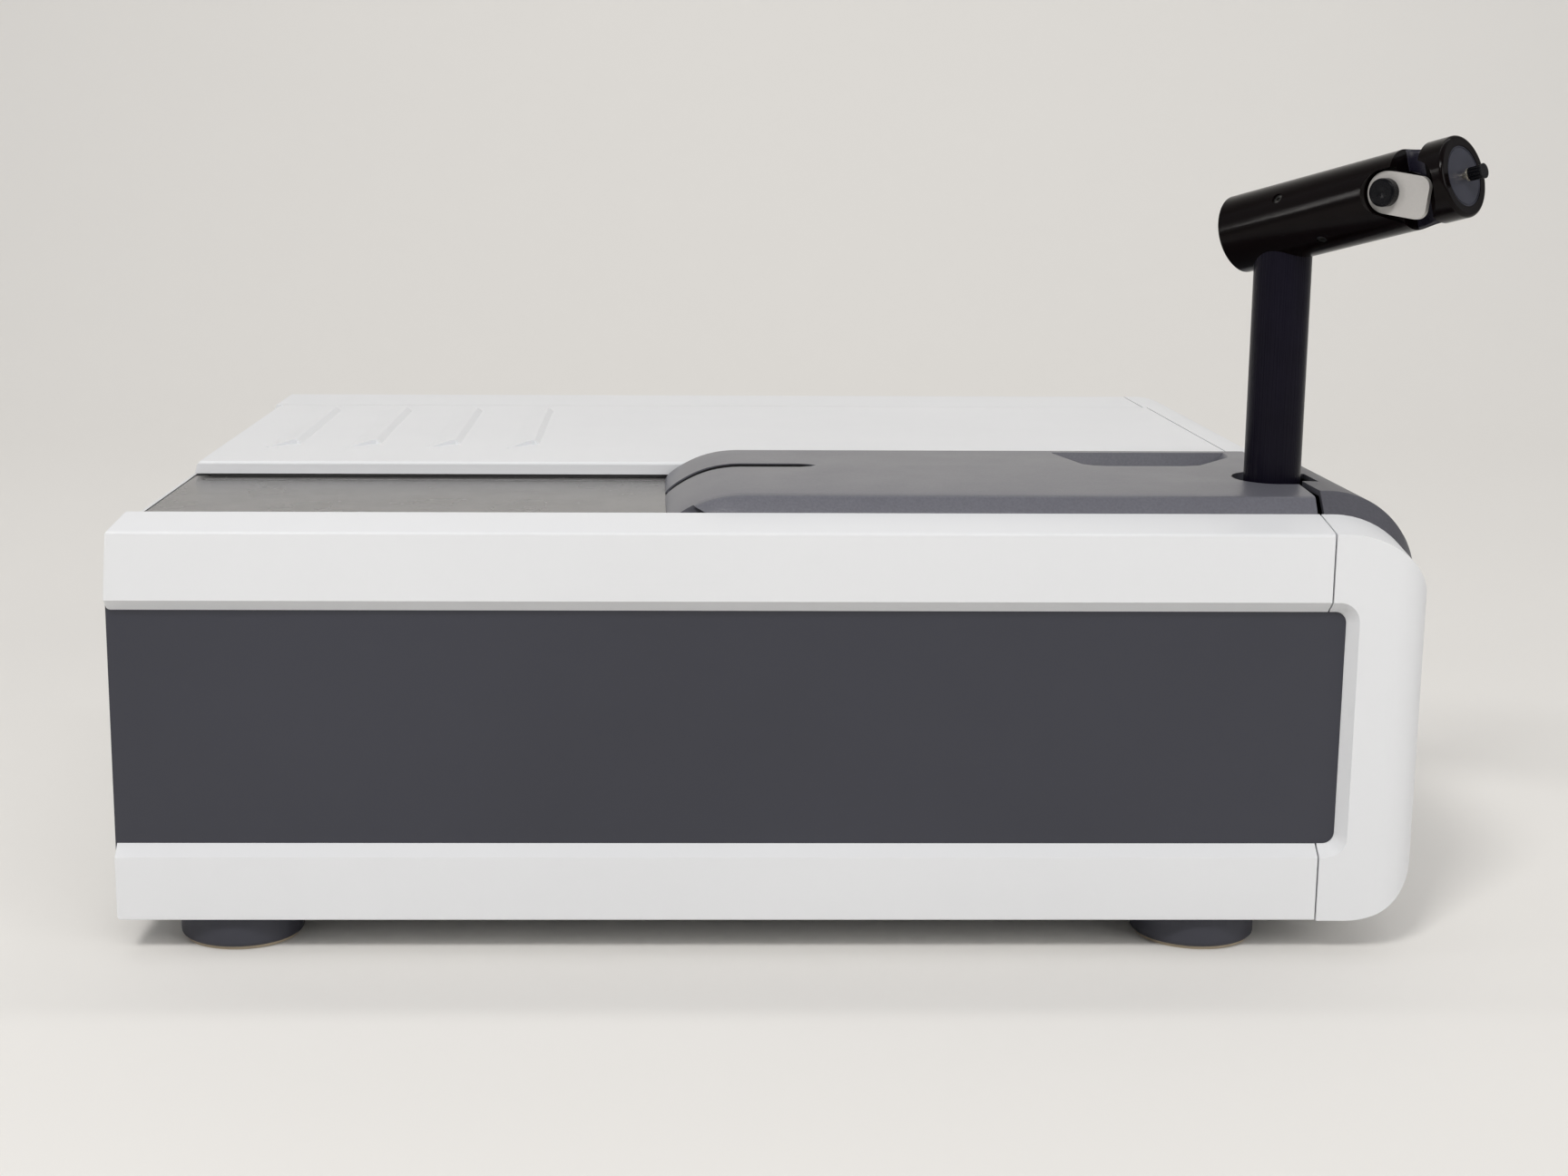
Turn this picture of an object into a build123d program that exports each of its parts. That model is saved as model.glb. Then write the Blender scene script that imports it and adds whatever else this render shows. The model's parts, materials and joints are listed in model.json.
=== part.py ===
from build123d import *
from math import cos, radians, sin
import os

# Benchtop UV-visible spectrophotometer with a periscope sampling head.  All lengths in millimetres.
# +X points to the instrument's front, -Y to its sample side, +Z up.  While building, X is counted from the
# middle of the body; the parts are written with the origin on the bench under the middle of the instrument.

# ---- driving dimensions -------------------------------------------------------------------------
REAR_X = -285.0          # rear face
FRONT_X = 283.0          # front face
HALF_W = 238.5           # half of the body's width
BASE_Z = 15.6            # underside of the body
SEAM_X = 238.0           # joint line between body covers and front bezel
SEAM_GAP = 0.8           # visible gap at the joint line
WALL = 3.0               # moulded cover thickness
CREASE_Z = 187.0         # upper outer edge of the sample-side rail
RAIL_IN_Y = -212.0       # inner edge of the sample-side rail's top
RAIL_IN_Z = 191.5
RECESS = 6.0             # depth of the side panels behind the rails
PANEL_LO_Z, PANEL_HI_Z = 49.0, 152.4
BEVEL_LO_Z, BEVEL_HI_Z = 44.2, 157.5
PANEL_END_X = 245.5      # front end of the side panel
BEVEL_END_X = 249.6
DECK_Z = 194.4           # top of the fixed rear deck
DECK_NEAR_Y = -73.0
DECK_FAR_Y = 172.4
CHANNEL_Z = 186.2        # floor the lid slides over
DECK_SKIRT_Z = 188.3     # lower edge of the deck's side, above a shadow gap
LID_TOP_Z = 200.8
LID_REAR_X = -48.0       # nose of the closed lid
LID_NEAR_Y, LID_FAR_Y = -211.4, -73.6
GROOVE_Y, GROOVE_W = -128.1, 11.2       # inlay groove in the lid
TOP_R, BOTTOM_R, PLAN_R = 40.0, 32.0, 20.0   # roundings of the front
CAP_LIP_Z = 166.0        # where the dark cap ends on the front
FOOT_R, PAD_R, PAD_H = 27.2, 24.9, 1.5
FOOT_X, FOOT_Y = (-236.3, 190.5), (-206.8, 206.8)
RIB_X = (-239.0, -197.9, -156.8, -115.7)     # crests of the four wedge-shaped ribs on the deck
RIB_H = 2.3
TUB_X, TUB_Y, TUB_Z = (24.0, 252.0), (-204.0, -81.0), (62.0, 183.4)
TUB_WALL = 2.5
POST_X, POST_Y, POST_R = 229.0, -161.0, 12.7
BARREL_Z, BARREL_R = 315.0, 17.5
BARREL_YAW, BARREL_RISE = 47.8, 14.3         # degrees towards -Y, and upwards
BARREL_T0, BARREL_T1, RING_T1 = -24.0, 76.5, 88.3   # stations along the barrel
SLOT_T0 = 63.5           # start of the sample slot across the barrel
POCKET_R, POCKET_RUN = 9.85, 14.5            # oval pocket that the swing plate lies in
LEVER_T, LEVER_TILT = 59.0, -22.0            # pivot of the swing plate
BENCH_Z = 70.0           # top of the optical bench plate
RUN = 0.05               # radial running clearance
ORIGIN_X = 5.4           # middle of the whole instrument, with its periscope, from the middle of the body

PARTS = {}


# ---- helpers ------------------------------------------------------------------------------------
def keep(name, *shapes):
    """Record one node: one solid, or a group of separate solids."""
    solids = []
    for shape in shapes:
        solids += list(shape.solids())
    PARTS[name] = solids


def block(x0, x1, y0, y1, z0, z1):
    return Pos((x0 + x1) / 2, (y0 + y1) / 2, (z0 + z1) / 2) * Box(abs(x1 - x0), abs(y1 - y0), abs(z1 - z0))


def rod(x, y, z, r, length, axis="Z"):
    """A cylinder starting at a point and running along +axis."""
    turn = {"Z": Rot(0, 0, 0), "X": Rot(0, 90, 0), "Y": Rot(-90, 0, 0)}[axis]
    step = {"Z": (0, 0, 1), "X": (1, 0, 0), "Y": (0, 1, 0)}[axis]
    centre = [p + s * length / 2 for p, s in zip((x, y, z), step)]
    return Pos(*centre) * turn * Cylinder(r, length)


def tube(x, y, z, r_out, r_in, length, axis="Z"):
    return rod(x, y, z, r_out, length, axis) - rod(x, y, z, r_in, length, axis)


def face_of(points, place):
    """A face from (a, b) corners; a corner tagged "mid" is the middle of an arc between its neighbours."""
    spots = [(place(p[0], p[1]), len(p) == 3) for p in points]
    spots.append(spots[0])
    edges, i = [], 0
    while i < len(spots) - 1:
        if spots[i + 1][1]:
            edges.append(ThreePointArc(spots[i][0], spots[i + 1][0], spots[i + 2][0]))
            i += 2
        else:
            if (Vector(*spots[i][0]) - Vector(*spots[i + 1][0])).length > 1e-6:
                edges.append(Line(spots[i][0], spots[i + 1][0]))
            i += 1
    return make_face(edges)


def prism_yz(points, x0, x1):
    """A closed outline in (y, z), swept from x0 to x1."""
    return extrude(face_of(points, lambda y, z: (x0, y, z)), x1 - x0, dir=(1, 0, 0))


def prism_xz(points, y0, y1, lean=0.0):
    """A closed outline in (x, z), swept from y0 to y1; lean is how far it rises on the way."""
    step = Vector(0, y1 - y0, lean)
    return extrude(face_of(points, lambda x, z: (x, y0, z)), step.length, dir=step.normalized())


def prism_xy(points, z0, z1):
    return extrude(face_of(points, lambda x, y: (x, y, z0)), z1 - z0, dir=(0, 0, 1))


def arc(cx, cz, r, a0, a1):
    """Start, middle and end of a circular arc, in degrees."""
    spots = [(cx + r * cos(radians(a)), cz + r * sin(radians(a))) for a in (a0, (a0 + a1) / 2, a1)]
    return [spots[0], (*spots[1], "mid"), spots[2]]


def mirror_y(points):
    return [(-p[0], *p[1:]) for p in points]


def front_outline(x_back, z_top, inset=0.0, z_low=BASE_Z):
    """Side outline of the front: a large rounding at the top and a smaller one at the bottom."""
    cx_top, cx_low = FRONT_X - TOP_R, FRONT_X - BOTTOM_R
    top = arc(cx_top, z_top - TOP_R, TOP_R - inset, 90, 0)
    low = arc(cx_low, z_low + BOTTOM_R, BOTTOM_R - inset, 0, -90)
    return [(x_back, z_low + inset), (x_back, z_top - inset)] + top + low


def plan_outline(x_back, inset=0.0):
    """Plan of the front with its rounded corners."""
    c = HALF_W - PLAN_R
    right = arc(FRONT_X - PLAN_R, -c, PLAN_R - inset, -90, 0)
    left = arc(FRONT_X - PLAN_R, c, PLAN_R - inset, 0, 90)
    return [(x_back, -HALF_W + inset)] + right + left + [(x_back, HALF_W - inset)]


def rear_limit(inset=0.0):
    """Everything in front of the forward-leaning rear face."""
    pts = [(REAR_X, 5), (REAR_X, 158), (REAR_X + 1.8, 186), (REAR_X + 6.4, DECK_Z - 0.6),
           (REAR_X + 9.5, DECK_Z + 8), (400, DECK_Z + 8), (400, 5)]
    return prism_xz([(x + inset, z) for x, z in pts], -260, 260)


def deck_limit(inset=0.0):
    """Like rear_limit, for the deck and the lid's channel, which stop a little short of the rails."""
    pts = [(REAR_X + 5.0, 5), (REAR_X + 5.0, 184.5), (REAR_X + 7.0, 188.3), (REAR_X + 8.2, DECK_Z - 1.6),
           (REAR_X + 9.6, DECK_Z - 0.2), (REAR_X + 12.0, DECK_Z + 8), (400, DECK_Z + 8), (400, 5)]
    return prism_xz([(x + inset, z) for x, z in pts], -260, 260)


def rail_limit(z_low, z_high, r_low, r_high):
    """Side outline of a rail with rounded corners at its rear end."""
    low = arc(REAR_X + r_low, z_low + r_low, r_low, 270, 180)
    high = arc(REAR_X + r_high, z_high - r_high, r_high, 180, 90)
    return prism_xz(low + high + [(300, z_high), (300, z_low)], -260, 260)


# ---- sample-side and far-side rails and panels ----------------------------------------------------
# The lip behind each bevel laps over the edge of the recessed panel.
UPPER_OUT = [(-232.6, PANEL_HI_Z), (-HALF_W, BEVEL_HI_Z), (-HALF_W, CREASE_Z - 1.5),
             (-HALF_W + 0.6, CREASE_Z - 0.3),
             (-HALF_W + 2.2, CREASE_Z + 0.5), (RAIL_IN_Y, RAIL_IN_Z)]
UPPER_IN = [(RAIL_IN_Y, 185.6), (-214.6, 185.6), (-214.6, 188.2), (-235.5, 184.4), (-235.5, 158.7),
            (-232.6, 156.2)]
near_upper = prism_yz(UPPER_OUT + UPPER_IN, REAR_X, SEAM_X - SEAM_GAP)
near_upper += prism_yz(UPPER_OUT + [(RAIL_IN_Y, 185.6), (-229.8, 185.6), (-229.8, 156.2), (-232.6, 156.2)],
                       REAR_X, REAR_X + 3)
near_upper &= rear_limit()
near_upper &= rail_limit(PANEL_HI_Z, DECK_Z + 20, 1.6, 0.6)
keep("near_upper_rail", near_upper)

FAR_TOP = [(DECK_FAR_Y + 0.8, DECK_Z)] + arc(HALF_W - 8, DECK_Z - 8, 8, 90, 0)
FAR_OUT = FAR_TOP + [(HALF_W, BEVEL_HI_Z), (232.6, PANEL_HI_Z)]
FAR_IN = [(232.6, 156.2), (235.5, 158.7), (235.5, 184.0), (228.5, DECK_Z - WALL),
          (DECK_FAR_Y + 0.8, DECK_Z - WALL)]
far_upper = prism_yz(FAR_OUT + FAR_IN, REAR_X, SEAM_X - SEAM_GAP)
far_upper += prism_yz(FAR_OUT + [(232.6, 156.2), (229.8, 156.2), (229.8, 185.6), (DECK_FAR_Y + 0.8, 185.6)],
                      REAR_X, REAR_X + 10) & rear_limit() - rear_limit(3)
far_upper &= rear_limit()
far_upper &= rail_limit(PANEL_HI_Z, DECK_Z + 20, 1.6, 0.6)
keep("far_upper_rail", far_upper)

LOWER_OUT = [(-232.6, PANEL_LO_Z), (-HALF_W, BEVEL_LO_Z), (-HALF_W, BASE_Z + 1.2),
             (-HALF_W + 0.35, BASE_Z + 0.35),
             (-HALF_W + 1.2, BASE_Z), (-221.0, BASE_Z)]
LOWER_IN = [(-221.0, BASE_Z + 2.4), (-235.5, BASE_Z + 2.4), (-235.5, 43.0), (-232.6, 45.4)]
near_lower = prism_yz(LOWER_OUT + LOWER_IN, REAR_X, SEAM_X - SEAM_GAP)
near_lower += prism_yz(LOWER_OUT[:5] + [(-229.8, BASE_Z), (-229.8, 45.4), (-232.6, 45.4)], REAR_X, REAR_X + 3)
near_lower &= rail_limit(BASE_Z, 60, 2.4, 0.6)
keep("near_lower_rail", near_lower)
far_lower = prism_yz(mirror_y(LOWER_OUT + LOWER_IN), REAR_X, SEAM_X - SEAM_GAP)
far_lower += prism_yz(mirror_y(LOWER_OUT[:5] + [(-229.8, BASE_Z), (-229.8, 45.4), (-232.6, 45.4)]), REAR_X,
                      REAR_X + 3)
far_lower &= rail_limit(BASE_Z, 60, 2.4, 0.6)
keep("far_lower_rail", far_lower)


def side_panel(sign):
    """Recessed sheet panel: square at the rear, rounded at its front corners."""
    y0, y1 = sorted((sign * 232.5, sign * 230.0))
    body = block(REAR_X - 0.8, SEAM_X, y0, y1, 45.8, 155.6)
    r = 5.0
    end = arc(PANEL_END_X - 0.1 - r, PANEL_HI_Z - 0.1 - r, r, 90, 0)
    end += arc(PANEL_END_X - 0.1 - r, PANEL_LO_Z + 0.1 + r, r, 0, -90)
    tongue = prism_xz([(SEAM_X - 5, PANEL_LO_Z + 0.1), (SEAM_X - 5, PANEL_HI_Z - 0.1)] + end, y0, y1)
    return body + tongue


keep("near_side_panel", side_panel(-1))
keep("far_side_panel", side_panel(1))

# ---- front bezel --------------------------------------------------------------------------------
BZ0 = SEAM_X


def bezel_volume(inset):
    """Outer (inset 0) or inner envelope of the front bezel."""
    straight = prism_xz(front_outline(BZ0 - 2, DECK_Z, inset), RAIL_IN_Y, HALF_W - inset)
    side_top = front_outline(BZ0 - 2, CREASE_Z, inset, 80.0)
    side = prism_xz(side_top, -HALF_W + inset, RAIL_IN_Y, RAIL_IN_Z - CREASE_Z)
    side += prism_xz(front_outline(BZ0 - 2, 150.0, inset), -HALF_W + inset, RAIL_IN_Y)
    over_cap = prism_xz(front_outline(BZ0 - 2, RAIL_IN_Z, inset), RAIL_IN_Y, DECK_NEAR_Y)
    body = side + over_cap + (straight & block(0, 400, DECK_NEAR_Y, 260, 0, 300))
    return body & prism_xy(plan_outline(BZ0 - 2, inset), 0, 300)


bezel = bezel_volume(0.0) - bezel_volume(WALL)
for s in (-1, 1):
    # Frame round the front end of the side panel: a bevel down to the recessed panel.
    ya, yb = s * HALF_W, s * (HALF_W - RECESS)
    pad = block(BZ0 - 2, BEVEL_END_X + 4, s * (HALF_W - 0.5), s * (HALF_W - RECESS - 2.5), BEVEL_LO_Z - 3,
                BEVEL_HI_Z + 3)
    bezel += pad
    outer = Plane(origin=(BZ0 - 20, ya + s * 0.01, 0), x_dir=(1, 0, 0), z_dir=(0, -s, 0))
    inner = Plane(origin=(BZ0 - 20, yb, 0), x_dir=(1, 0, 0), z_dir=(0, -s, 0))
    mid = (PANEL_LO_Z + PANEL_HI_Z) / 2

    def ring(plane, x_end, z_lo, z_hi, r):
        w = (x_end - (BZ0 - 20)) * 2
        shape = RectangleRounded(w, z_hi - z_lo, r)
        up = plane.to_local_coords(Vector(BZ0 - 20, 0, (z_hi + z_lo) / 2))
        return plane * Pos(0, up.Y) * shape

    bezel -= loft([ring(outer, BEVEL_END_X, BEVEL_LO_Z, BEVEL_HI_Z, 9.0),
                   ring(inner, PANEL_END_X, PANEL_LO_Z, PANEL_HI_Z, 5.0)])
    bezel -= extrude(ring(inner, PANEL_END_X, PANEL_LO_Z, PANEL_HI_Z, 5.0), 14, dir=(0, -s, 0))
# The dark cap takes the place of the bezel's top between the rail and the deck.
bezel -= block(BZ0 - 5, 300, RAIL_IN_Y - 0.01, DECK_NEAR_Y, CAP_LIP_Z - 0.6, 260)
bezel -= block(0, BZ0, -260, 260, 0, 260)
bezel -= block(0, BZ0 + 2.4, DECK_NEAR_Y - 1, DECK_FAR_Y + 0.4, DECK_Z - 9, 260)
# The far top edge is rounded like the far rail.
corner = ([(HALF_W + 5, DECK_Z - 8)] + [p for p in reversed(FAR_TOP[1:])]
          + [(HALF_W - 8, DECK_Z + 5), (HALF_W + 5, DECK_Z + 5)])
bezel -= prism_yz(corner, BZ0 - 5, 300)
keep("front_bezel", bezel.solids().sort_by(SortBy.VOLUME)[-1])

# ---- dark front cap -----------------------------------------------------------------------------
CHAMFER_Y, CHAMFER_Z = 6.5, 6.9


def cap_volume(inset):
    top = LID_TOP_Z - 0.3
    outline = front_outline(BZ0 + SEAM_GAP, top, inset)
    body = prism_xz(outline, LID_NEAR_Y + inset, LID_FAR_Y - inset)
    edge = front_outline(BZ0 - 5, RAIL_IN_Z, inset)
    span = (LID_FAR_Y - LID_NEAR_Y)
    body &= prism_xz(edge, LID_NEAR_Y + inset * 0.6, LID_FAR_Y,
                     CHAMFER_Z * (span - inset * 0.6) / CHAMFER_Y) \
        + prism_xz(edge, LID_NEAR_Y + inset * 0.6, LID_FAR_Y)
    return body


cap = cap_volume(0.0) - cap_volume(2.6)
cap &= block(BZ0 + SEAM_GAP + 0.6, 300, -260, 260, CAP_LIP_Z, 300)
# Notch that clears the post, in line with the lid's own notch.
cap -= block(BZ0 - 5, 247.0, POST_Y - 12.5, POST_Y + 12.5, 180, 240)
keep("front_cap", cap.solids().sort_by(SortBy.VOLUME)[-1])

# ---- deck, channel and compartment ----------------------------------------------------------------
deck_out = ([(DECK_NEAR_Y, DECK_SKIRT_Z), (DECK_NEAR_Y, DECK_Z - 1.6)]
            + arc(DECK_NEAR_Y + 1.6, DECK_Z - 1.6, 1.6, 180, 90)[1:])
deck_out += [(DECK_FAR_Y, DECK_Z), (DECK_FAR_Y, CHANNEL_Z + 0.1)]
deck_in = [(DECK_NEAR_Y + WALL, 180), (DECK_NEAR_Y + WALL, DECK_Z - WALL), (DECK_FAR_Y - WALL, DECK_Z - WALL),
           (DECK_FAR_Y - WALL, 180)]
DECK_END = SEAM_X + 1.6
deck = prism_yz(deck_out, REAR_X, DECK_END) & deck_limit()
deck -= prism_yz(deck_in, REAR_X - 5, DECK_END + 1) & deck_limit(WALL)
for rx in RIB_X:
    # Each rib rises slowly from the rear, falls steeply in front, and runs out to a point at its near end.
    rib = prism_xz([(rx - 11.5, DECK_Z - 0.5), (rx - 11.5, DECK_Z), (rx - 4, DECK_Z + RIB_H * 0.72),
                    (rx - 1.4, DECK_Z + RIB_H * 0.97),
                    (rx - 0.5, DECK_Z + RIB_H), (rx + 0.3, DECK_Z + RIB_H * 0.93), (rx + 3.0, DECK_Z),
                    (rx + 3.0, DECK_Z - 0.5)], -20, 158)
    plan = prism_xy([(rx - 12, -18), (rx - 12, 155.5), (rx + 0.5, 143), (rx + 4, 143), (rx + 4, -5.5),
                     (rx + 0.5, -5.5)], DECK_Z - 1, DECK_Z + 5)
    deck += rib & plan
    deck -= rod(rx - 12.6, -19.0, DECK_Z - 0.7, 1.1, 3)
keep("top_deck", deck)

channel = block(REAR_X + 2, SEAM_X - 0.6, RAIL_IN_Y + 0.3, DECK_NEAR_Y + 6, CHANNEL_Z - 2.5, CHANNEL_Z)
channel += block(REAR_X + 14, SEAM_X - 4, DECK_NEAR_Y + 3.6, DECK_NEAR_Y + 6, CHANNEL_Z - 1, CHANNEL_Z + 4.4)
channel += block(REAR_X + 5, REAR_X + 8, RAIL_IN_Y + 0.3, DECK_NEAR_Y + 6, 168, CHANNEL_Z - 2)
channel -= block(TUB_X[0] + TUB_WALL, SEAM_X + 2, TUB_Y[0] + TUB_WALL, TUB_Y[1] - TUB_WALL, 170, 195)
for y_g in (-206.6, -78.4):
    channel -= block(REAR_X + 12, TUB_X[1], y_g - 1.6, y_g + 1.6, CHANNEL_Z - 1.6, CHANNEL_Z + 1)
channel &= deck_limit(0.2)
keep("lid_channel", channel)
guides = [block(REAR_X + 13, SEAM_X - 2, y_g - 1.5, y_g + 1.5, CHANNEL_Z - 1.6,
                CHANNEL_Z - 0.15) for y_g in (-206.6, -78.4)]
keep("lid_guides", *guides)

tx0, tx1 = TUB_X
ty0, ty1 = TUB_Y
tz0, tz1 = TUB_Z
tub = (block(tx0, tx1, ty0, ty1, tz0, tz1)
       - block(tx0 + TUB_WALL, tx1 - TUB_WALL, ty0 + TUB_WALL, ty1 - TUB_WALL, tz0 + TUB_WALL, 300))
BEAM_Z = 105.0
BEAM_X = POST_X
tub -= rod(BEAM_X, ty1 - 5, BEAM_Z, 9, 10, "Y")
tub -= rod(BEAM_X - 110, ty1 - 5, BEAM_Z, 9, 10, "Y")
keep("sample_compartment", tub)
keep("compartment_windows", *[rod(BEAM_X - d, ty1 - 2.3, BEAM_Z, 8.9, 2.0, "Y") for d in (0, 110)])

# ---- sliding lid ----------------------------------------------------------------------------------
NOSE_Z = CHANNEL_Z + 0.5
LID_FRONT_X = SEAM_X - 1.4
# How far the lid's surface drops towards its nose, and its crowned cross-section with a grained chamfer.
NOSE = [(LID_REAR_X, 15.6), (-47.2, 13.9), (-46.1, 12.4), (-44.4, 10.9), (-42.3, 9.3), (-40.1, 7.9),
        (-37.6, 6.4), (-35.0, 5.05),
        (-32.5, 3.9), (-29.5, 2.75), (-26.6, 1.85), (-23.2, 1.05), (-19.8, 0.5), (-16.4, 0.15), (-12.6, 0.0)]
CROWN = [(LID_NEAR_Y, RAIL_IN_Z - 0.4), (LID_NEAR_Y + 0.8, RAIL_IN_Z + 1.0), (-206.6, 197.6),
         (-205.2, 198.35), (-200, 198.75),
         (-190, 199.35), (-175, 200.0), (-155, 200.5), (-130, LID_TOP_Z), (LID_FAR_Y - 1.2, LID_TOP_Z),
         (LID_FAR_Y, LID_TOP_Z - 1.2)]


def lid_section(x, drop):
    line = [(y, z - drop) for y, z in CROWN]
    return face_of([(LID_NEAR_Y, 165)] + line + [(LID_FAR_Y, 165)], lambda y, z: (x, y, z))


lid = loft([lid_section(x, drop) for x, drop in NOSE], ruled=True)
lid += extrude(lid_section(NOSE[-1][0], 0), LID_FRONT_X - NOSE[-1][0], dir=(1, 0, 0))
lid &= block(-60, 260, -220, -60, NOSE_Z, 220)
near_nose = arc(LID_REAR_X + 9, LID_NEAR_Y + 9, 9, 180, 270)
far_nose = arc(LID_REAR_X + 6, LID_FAR_Y - 6, 6, 90, 180)
lid &= prism_xy(near_nose + [(SEAM_X, LID_NEAR_Y), (SEAM_X, LID_FAR_Y)] + far_nose, 150, 230)
lid -= prism_xz([(-42.5, 180), (-42.5, 189.5), (-35.9, 194.0), (-29.0, 190.8), (-28.5, 180)], -215, -203)
# The lid is a shell: hollow underneath, closed at its edges.
hollow = prism_xz([(-30, 185), (-30, 193.0), (-23, 196.0), (-8, LID_TOP_Z - 3),
                   (LID_FRONT_X - 3, LID_TOP_Z - 3),
                   (LID_FRONT_X - 3, 185)], LID_NEAR_Y + 6.8, LID_FAR_Y - 6.6)
hollow &= prism_yz([(LID_NEAR_Y + 6.8, 185), (LID_NEAR_Y + 6.8, 193.0), (-202.0, 195.2), (-190, 196.3),
                    (-155, 197.5),
                    (-130, LID_TOP_Z - 3), (LID_FAR_Y - 3, LID_TOP_Z - 3), (LID_FAR_Y - 3, 185)], -60, 260)
NOTCH_R = 18.0
rim = (rod(POST_X, POST_Y, NOSE_Z, NOTCH_R + 2.5, 20)
       + block(POST_X, 260, POST_Y - NOTCH_R - 2.5, POST_Y + NOTCH_R + 2.5, NOSE_Z, 220))
SCOOP = [(141, -80.5), (141, -84), (149, -122), (154, -127), (160, -128.5), (196, -128.5), (204, -126),
         (224, -98), (226, -90), (226, -80.5)]
scoop_rim = prism_xy([(137, -77), (137, -85), (145.5, -124), (151, -130), (159, -132), (198, -132),
                      (207, -128), (228, -98), (229, -77)], 180, 215)
lid_shell = lid - (hollow - rim - scoop_rim)
lid_shell -= (rod(POST_X, POST_Y, 150, NOTCH_R, 100)
              + block(POST_X, 260, POST_Y - NOTCH_R, POST_Y + NOTCH_R, 150, 250))
scoop_low = face_of(SCOOP, lambda x, y: (x * 0.86 + 184 * 0.14, y * 0.86 - 103 * 0.14, LID_TOP_Z - 6.5))
scoop_top = face_of(SCOOP, lambda x, y: (x, y, LID_TOP_Z + 0.5))
lid_shell -= loft([scoop_low, scoop_top])
# Inlay groove from a point in the middle of the lid back and down over its nose.
groove_floor = [(x + 1.0, LID_TOP_Z - drop - 1.5) for x, drop in NOSE[2:]] + [(24, LID_TOP_Z - 1.6)]
groove = prism_xz([(-52, 180), (-46.4, 180)] + groove_floor + [(24, LID_TOP_Z + 2), (-52, LID_TOP_Z + 2)],
                  GROOVE_Y - GROOVE_W / 2, GROOVE_Y + GROOVE_W / 2)
groove &= prism_xy([(-60, GROOVE_Y - GROOVE_W / 2), (15.5, GROOVE_Y - GROOVE_W / 2),
                    (20.5, GROOVE_Y - GROOVE_W * 0.3), (23.4, GROOVE_Y),
                    (20.5, GROOVE_Y + GROOVE_W * 0.3), (15.5, GROOVE_Y + GROOVE_W / 2),
                    (-60, GROOVE_Y + GROOVE_W / 2)], 170, 210)
lid_shell -= groove
keep("sample_lid", lid_shell.solids().sort_by(SortBy.VOLUME)[-1])
runners = [block(LID_REAR_X + 22, LID_FRONT_X - 10, y_g - 1.2, y_g + 1.2, CHANNEL_Z - 0.1,
                 NOSE_Z) for y_g in (-206.6,)]
runners += [block(LID_REAR_X + 22, LID_FRONT_X - 10, -79.6, -77.2, CHANNEL_Z - 0.1, NOSE_Z)]
keep("lid_runners", *runners)

# ---- feet, base tray, rear panel --------------------------------------------------------------------
feet, pads, foot_screws = [], [], []
for fx in FOOT_X:
    for fy in FOOT_Y:
        foot = rod(fx, fy, PAD_H, FOOT_R, BASE_Z - PAD_H)
        foot = chamfer(foot.edges().filter_by(GeomType.CIRCLE).sort_by(Axis.Z)[0], 1.2)
        feet.append(foot - rod(fx, fy, 0, 9, 9) - rod(fx, fy, 0, 2.6, 30))
        pads.append(rod(fx, fy, 0.0, PAD_R, PAD_H))
        foot_screws.append(rod(fx, fy, 6.0, 5, 3.0) + rod(fx, fy, 8.5, 2.5, 11.0)
                           - block(fx - 3, fx + 3, fy - 0.6, fy + 0.6, 5.9, 7.2))
keep("feet", *feet)
keep("foot_pads", *pads)
keep("foot_screws", *foot_screws)

tray = block(REAR_X + 4, BZ0 - 2, -220.6, 220.6, BASE_Z, BASE_Z + 2)
for s in (-1, 1):
    tray += block(REAR_X + 4, BZ0 - 4, s * 227.6, s * 229.4, BASE_Z + 2.6, 60)
    tray += block(REAR_X + 4, BZ0 - 4, s * 219, s * 229.4, BASE_Z + 2.6, BASE_Z + 4.4)
tray += (block(REAR_X + 4, BZ0 - 4, -220.6, 220.6, BASE_Z + 1.9, BASE_Z + 4.4)
         - block(REAR_X + 12, BZ0 - 12, -214, 214, 0, 60))
for fx in FOOT_X:
    for fy in FOOT_Y:
        tray -= rod(fx, fy, 10, 2.6, 20)
for i in range(12):
    vx = -150 + i * 12
    tray -= block(vx, vx + 5, -60, 60, 10, 30)
keep("base_tray", tray)

RX0, RX1 = REAR_X + 0.3, REAR_X + 1.8
FAN_Y, FAN_Z, FAN_R = 40.0, 105.0, 37.0
INLET_Y, INLET_Z = 165.0, 62.0
ROCKER_Y, ROCKER_Z = 122.0, 62.0
rear = block(RX0, RX1, -229.0, 229.0, BASE_Z + 3.0, 158)
rear += prism_xz([(RX0, 157), (RX1, 157), (RX1 + 1.7, 185), (RX0 + 1.7, 185)], -229.0, 229.0)
for i in range(5):
    rear -= tube(RX0 - 5, FAN_Y, FAN_Z, FAN_R - i * 7, FAN_R - i * 7 - 4.6, 20, "X")
rear -= rod(RX0 - 5, FAN_Y, FAN_Z, 3.0, 12, "X")
for a in (45, 135, 225, 315):
    spoke = Pos(RX0 + 0.75, FAN_Y, FAN_Z) * Rot(a, 0, 0) * Pos(0, FAN_R / 2, 0) * Box(1.5, FAN_R + 2, 3)
    rear += spoke
rear -= block(-300, -270, INLET_Y - 13.9, INLET_Y + 13.9, INLET_Z - 10.2, INLET_Z + 20.2)
rear -= block(-300, -270, ROCKER_Y - 9.7, ROCKER_Y + 9.7, ROCKER_Z - 13.7, ROCKER_Z + 13.7)
USB_Y, USB_Z = -120.0, 60.0
rear -= block(-300, -270, USB_Y - 6.3, USB_Y + 6.3, USB_Z - 5.9, USB_Z + 5.9)
rear -= block(-300, -270, USB_Y + 18 - 8.3, USB_Y + 18 + 8.3, USB_Z - 7.2, USB_Z + 7.2)
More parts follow.
